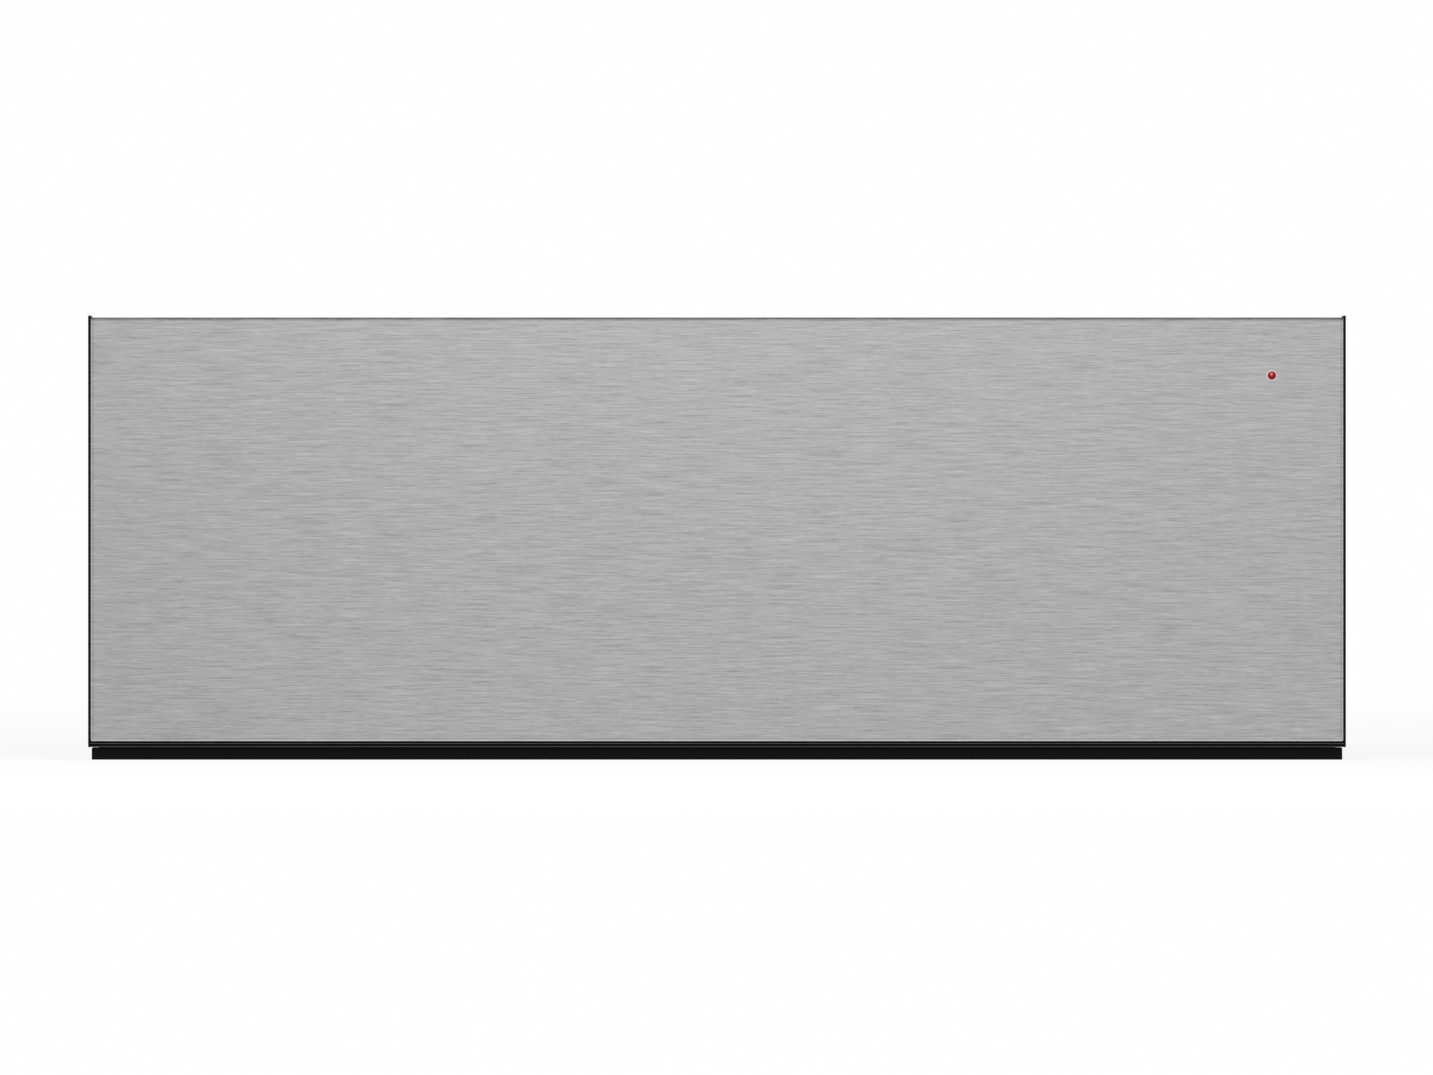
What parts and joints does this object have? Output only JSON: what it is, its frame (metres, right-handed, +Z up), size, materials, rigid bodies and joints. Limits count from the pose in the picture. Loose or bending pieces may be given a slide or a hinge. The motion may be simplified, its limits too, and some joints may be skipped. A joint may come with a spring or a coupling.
{
  "type": "warming drawer",
  "caption": "Built-in warming drawer with a plain push-to-open steel front, a heated glass floor and a fan heater.",
  "frame": {"origin": "centre of the footprint on the shelf that the feet stand on", "axes": "+X to the right as seen from the front, +Y to the back, +Z up; the drawer opens towards -Y"},
  "size_m": [0.756, 0.5756, 0.267],
  "materials": {
    "brushed_front": "satin",
    "stainless": "satin",
    "galvanised": "satin",
    "black_trim": "satin",
    "black_steel": "satin",
    "zinc_rail": "satin",
    "bearing_steel": "polished",
    "aluminium_sheet": "satin",
    "mineral_wool": "matte",
    "red_lens": "gloss",
    "clear_lens": "gloss",
    "black_plastic": "satin",
    "grey_plastic": "satin",
    "cream_plastic": "satin",
    "circuit_board": "satin",
    "black_rubber": "matte",
    "silicone": "matte",
    "cable_sheath": "satin",
    "black_glass": "gloss",
    "element_sheath": "matte",
    "motor_steel": "satin",
    "spring_steel": "polished",
    "magnet": "satin"
  },
  "bodies": {
    "cabinet": {"cabinet_frame": "black_steel", "frame_collar": "black_steel", "door_gasket": "silicone", "base_pan": "galvanised", "side_wall_right": "galvanised", "side_wall_left": "galvanised", "top_cover": "galvanised", "back_panel": "galvanised", "heat_shield": "aluminium_sheet", "top_insulation": "mineral_wool", "base_strip": "black_steel", "feet": "black_rubber", "cabinet_screws": "zinc_rail", "terminal_cover": "black_plastic", "cable_gland": "black_rubber", "terminal_block": "cream_plastic", "power_module_case": "grey_plastic", "power_board": "circuit_board", "rail_outer_members": "zinc_rail", "latch_housings": "grey_plastic", "latch_springs": "spring_steel", "ribbon_lower_run": "cable_sheath"},
    "latch_carriage": {"latch_plungers": "grey_plastic", "latch_magnets": "magnet"},
    "middle_rails": {"rail_middle_members": "zinc_rail", "ribbon_bend": "cable_sheath"},
    "outer_cages": {"outer_ball_cages": "bearing_steel"},
    "inner_cages": {"inner_ball_cages": "bearing_steel"},
    "drawer": {"front_skin": "brushed_front", "front_side_trims": "black_trim", "front_bottom_lip": "black_trim", "front_inner_panel": "stainless", "front_insulation": "mineral_wool", "indicator_lens": "red_lens", "indicator_holder": "black_plastic", "rail_inner_members": "zinc_rail", "rail_screws": "zinc_rail", "drawer_sides": "stainless", "drawer_floor_pan": "stainless", "floor_insulation": "mineral_wool", "heat_reflector": "aluminium_sheet", "floor_heater": "element_sheath", "floor_thermostat": "cream_plastic", "glass_plate": "black_glass", "drawer_front_wall": "stainless", "drawer_rear_wall": "stainless", "latch_strikers": "zinc_rail", "fan_housing": "galvanised", "fan_motor": "motor_steel", "fan_heater_ring": "element_sheath", "control_fascia": "black_plastic", "control_board": "circuit_board", "button_spring": "spring_steel", "level_lamps": "clear_lens", "ribbon_upper_run": "cable_sheath", "junction_box": "black_plastic", "drawer_wiring": "cable_sheath"},
    "fan_rotor": {"fan_impeller": "aluminium_sheet"},
    "selector": {"selector_knob": "black_plastic"},
    "button": {"power_button": "black_plastic"}
  },
  "joints": [
    {"name": "latch_push", "type": "slide", "parent": "cabinet", "child": "latch_carriage", "axis": [0, -1, 0], "range_m": [-0.002, 0.035], "deforming": ["latch_springs", "ribbon_lower_run"]},
    {"name": "rail_slide", "type": "slide", "parent": "latch_carriage", "child": "middle_rails", "axis": [0, -1, 0], "range_m": [0, 0.1975], "deforming": ["ribbon_lower_run"]},
    {"name": "outer_cage_slide", "type": "slide", "parent": "latch_carriage", "child": "outer_cages", "axis": [0, -1, 0], "range_m": [0, 0.09875]},
    {"name": "drawer_slide", "type": "slide", "parent": "middle_rails", "child": "drawer", "axis": [0, -1, 0], "range_m": [0, 0.1975], "deforming": ["ribbon_upper_run"]},
    {"name": "inner_cage_slide", "type": "slide", "parent": "middle_rails", "child": "inner_cages", "axis": [0, -1, 0], "range_m": [0, 0.09875]},
    {"name": "fan_spin", "type": "hinge", "parent": "drawer", "child": "fan_rotor", "pos_m": [0, 0.2218, 0.138], "axis": [0, 1, 0], "continuous": true},
    {"name": "selector_turn", "type": "hinge", "parent": "drawer", "child": "selector", "pos_m": [0.1903, -0.2322, 0.2118], "axis": [0, 0, 1], "range_deg": [-240, 0]},
    {"name": "button_press", "type": "slide", "parent": "drawer", "child": "button", "axis": [0, 0, 1], "range_m": [-0.002, 0], "stiffness_N_per_m": 600, "deforming": ["button_spring"]}
  ],
  "couplings": [
    {"joint": "rail_slide", "follows": "drawer_slide", "ratio": 1},
    {"joint": "outer_cage_slide", "follows": "drawer_slide", "ratio": 0.5},
    {"joint": "inner_cage_slide", "follows": "drawer_slide", "ratio": 0.5}
  ]
}
